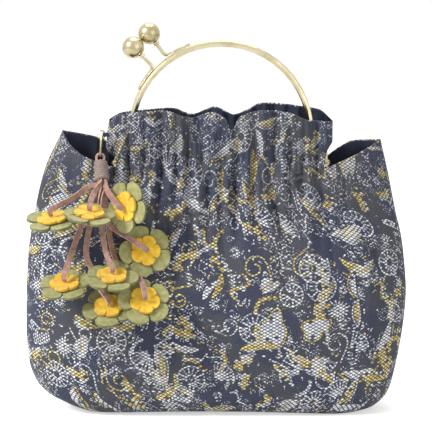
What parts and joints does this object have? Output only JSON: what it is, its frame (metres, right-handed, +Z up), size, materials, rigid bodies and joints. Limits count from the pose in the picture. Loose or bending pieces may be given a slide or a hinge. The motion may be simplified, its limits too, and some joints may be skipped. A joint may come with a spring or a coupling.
{
  "type": "gathered frame handbag",
  "caption": "Soft cloth handbag gathered on an arched brass ball-clasp frame that is also its handle, with a leather flower charm.",
  "frame": {"origin": "centre of the flat base at the floor, under the middle of the body's width and depth", "axes": "+Z up, +X to the right of the front, -Y out of the front where the charm hangs"},
  "size_m": [0.3054, 0.1265, 0.309],
  "materials": {
    "cloth": "matte jacquard weave, charcoal navy with pale and yellow motifs",
    "lining": "matte plain dark navy",
    "brass": "satin pale antique brass",
    "suede": "soft pinkish brown suede",
    "thread": "close turns of dull thread",
    "olive_leather": "soft olive suede with thick cut edges",
    "yellow_leather": "soft yellow suede with thick cut edges"
  },
  "bodies": {
    "bag": {"bag_shell": "cloth", "lining": "lining", "hinge_pin_left": "brass", "hinge_pin_right": "brass"},
    "front_frame": {"front_hoop": "brass", "front_rod": "brass", "front_rod_nut_left": "brass", "front_rod_nut_right": "brass", "front_clasp_stem": "brass", "front_clasp_ball": "brass", "front_heading": "cloth", "charm_tab": "cloth", "charm_ring": "brass"},
    "rear_frame": {"rear_hoop": "brass", "rear_rod": "brass", "rear_rod_nut_left": "brass", "rear_rod_nut_right": "brass", "rear_clasp_stem": "brass", "rear_clasp_ball": "brass", "rear_heading": "cloth"},
    "charm_clasp": {"charm_clasp": "brass"},
    "charm": {"charm_loop": "suede", "charm_neck": "thread", "lace_a": "suede", "lace_b": "suede", "lace_c": "suede", "lace_d": "suede", "lace_e": "suede", "lace_f": "suede", "lace_g": "suede", "lace_h": "suede", "flower_a": "olive_leather", "flower_b": "olive_leather", "flower_c": "olive_leather", "flower_d": "olive_leather", "flower_e": "olive_leather", "flower_f": "olive_leather", "flower_g": "olive_leather", "flower_h": "olive_leather", "flower_centre_a": "yellow_leather", "flower_centre_b": "yellow_leather", "flower_centre_c": "yellow_leather", "flower_centre_d": "yellow_leather", "flower_centre_e": "yellow_leather", "flower_centre_f": "yellow_leather", "flower_centre_g": "yellow_leather", "flower_centre_h": "yellow_leather"}
  },
  "joints": [
    {"name": "front_frame_open", "type": "hinge", "parent": "bag", "child": "front_frame", "pos_m": [0.004, 0, 0.182], "axis": [1, 0, 0], "range_deg": [0, 50]},
    {"name": "rear_frame_open", "type": "hinge", "parent": "bag", "child": "rear_frame", "pos_m": [0.004, 0, 0.182], "axis": [-1, 0, 0], "range_deg": [0, 50]},
    {"name": "charm_clasp_plumb", "type": "hinge", "parent": "front_frame", "child": "charm_clasp", "pos_m": [-0.0905, -0.01093, 0.2183], "axis": [1, 0, 0], "range_deg": [-50, 0]},
    {"name": "charm_swing", "type": "hinge", "parent": "charm_clasp", "child": "charm", "pos_m": [-0.09094, -0.0207, 0.20745], "axis": [-1, 0, 0], "range_deg": [0, 45]}
  ],
  "couplings": [
    {"joint": "charm_clasp_plumb", "follows": "front_frame_open", "ratio": -1}
  ]
}
